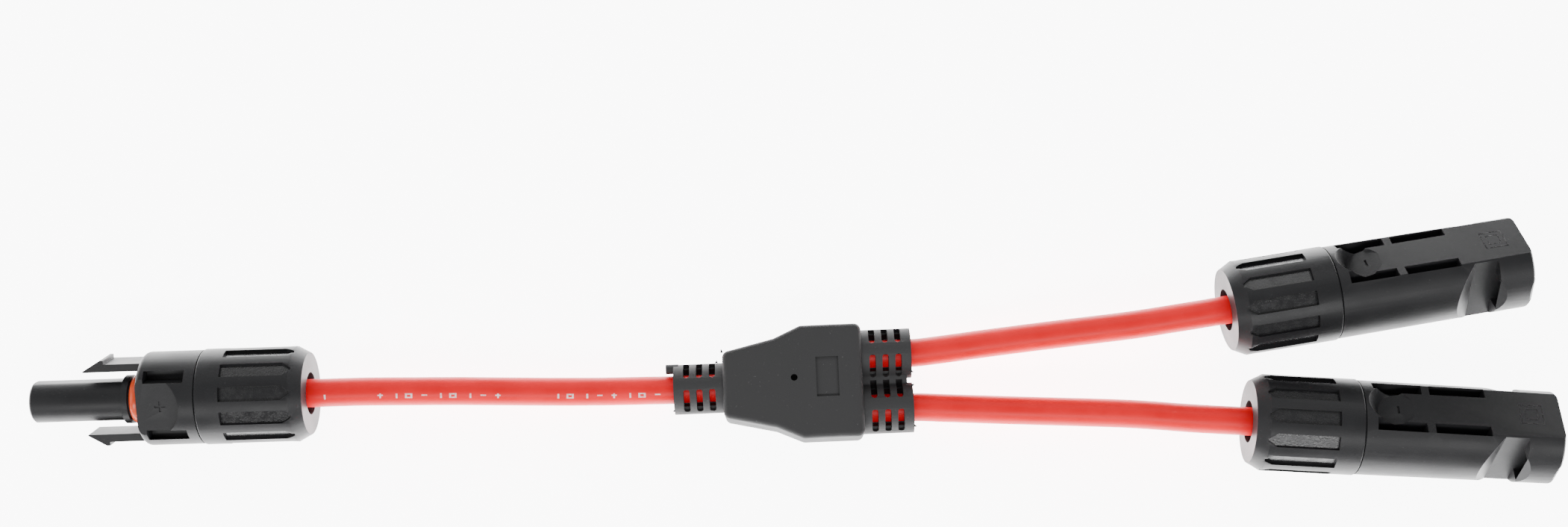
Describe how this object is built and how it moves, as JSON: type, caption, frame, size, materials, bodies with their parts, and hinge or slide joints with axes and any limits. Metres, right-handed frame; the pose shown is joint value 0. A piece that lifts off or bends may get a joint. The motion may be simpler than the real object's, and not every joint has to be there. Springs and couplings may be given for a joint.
{
  "type": "solar cable branch connector",
  "caption": "Y-branch solar cable lead: a latching plug, a moulded Y and receptacles on red cable, with screw-down cable glands.",
  "frame": {"origin": "centre of the moulded Y's flat underside", "axes": "-Z out of the underside, +X from the plug's side towards the receptacles"},
  "size_m": [0.3096, 0.055, 0.0196],
  "materials": {
    "housing_plastic": "satin moulded, fine grain",
    "nut_plastic": "satin moulded, glossy flute floors",
    "cage_plastic": "matt",
    "overmould": "matt",
    "cable_jacket": "satin",
    "seal_rubber": "matt",
    "ring_rubber": "satin",
    "copper": "tinned strand ends",
    "tinned_brass": "tin plated",
    "spring_brass": "bright"
  },
  "bodies": {
    "cable_assembly": {"y_overmould": "overmould", "splice_crimp": "tinned_brass", "cable_common": "cable_jacket", "cable_left": "cable_jacket", "cable_right": "cable_jacket", "conductor_common": "copper", "conductor_left": "copper", "conductor_right": "copper", "plug_housing": "housing_plastic", "plug_sealing_ring": "ring_rubber", "plug_socket_contact": "tinned_brass", "plug_contact_spring": "spring_brass", "plug_cable_seal": "seal_rubber", "left_housing": "housing_plastic", "left_pin_contact": "tinned_brass", "left_cable_seal": "seal_rubber", "right_housing": "housing_plastic", "right_pin_contact": "tinned_brass", "right_cable_seal": "seal_rubber"},
    "plug_latch_left": {"plug_latch_left": "housing_plastic"},
    "plug_latch_right": {"plug_latch_right": "housing_plastic"},
    "plug_collet": {"plug_collet": "cage_plastic"},
    "plug_gland_nut": {"plug_gland_nut": "nut_plastic"},
    "left_collet": {"left_collet": "cage_plastic"},
    "left_gland_nut": {"left_gland_nut": "nut_plastic"},
    "right_collet": {"right_collet": "cage_plastic"},
    "right_gland_nut": {"right_gland_nut": "nut_plastic"}
  },
  "joints": [
    {"name": "plug_latch_left_flex", "type": "hinge", "parent": "cable_assembly", "child": "plug_latch_left", "pos_m": [-0.12337, -0.00453, 0.0073], "axis": [0.0036, 0.342, -0.9397], "range_deg": [0, 5], "stiffness_Nm_per_rad": 1.5},
    {"name": "plug_latch_right_flex", "type": "hinge", "parent": "cable_assembly", "child": "plug_latch_right", "pos_m": [-0.12323, 0.00919, 0.0123], "axis": [-0.0036, -0.342, 0.9397], "range_deg": [0, 5], "stiffness_Nm_per_rad": 1.5},
    {"name": "plug_collet_slide", "type": "slide", "parent": "cable_assembly", "child": "plug_collet", "axis": [0.9999, -0.0105, 0], "range_m": [0, 0.0045]},
    {"name": "plug_nut_turn", "type": "hinge", "parent": "plug_collet", "child": "plug_gland_nut", "pos_m": [-0.1204, 0.0023, 0.0098], "axis": [0.9999, -0.0105, 0], "range_deg": [0, 1082]},
    {"name": "left_collet_slide", "type": "slide", "parent": "cable_assembly", "child": "left_collet", "axis": [-0.9925, -0.1219, 0], "range_m": [0, 0.0045]},
    {"name": "left_nut_turn", "type": "hinge", "parent": "left_collet", "child": "left_gland_nut", "pos_m": [0.1112, 0.014, 0.0098], "axis": [-0.9925, -0.1219, 0], "range_deg": [0, 1082]},
    {"name": "right_collet_slide", "type": "slide", "parent": "cable_assembly", "child": "right_collet", "axis": [-0.9954, 0.0958, 0], "range_m": [0, 0.0045]},
    {"name": "right_nut_turn", "type": "hinge", "parent": "right_collet", "child": "right_gland_nut", "pos_m": [0.1139, -0.0138, 0.0098], "axis": [-0.9954, 0.0958, 0], "range_deg": [0, 1082]}
  ],
  "couplings": [
    {"joint": "plug_nut_turn", "follows": "plug_collet_slide", "rad_per_m": 4188.8},
    {"joint": "left_nut_turn", "follows": "left_collet_slide", "rad_per_m": 4188.8},
    {"joint": "right_nut_turn", "follows": "right_collet_slide", "rad_per_m": 4188.8}
  ]
}
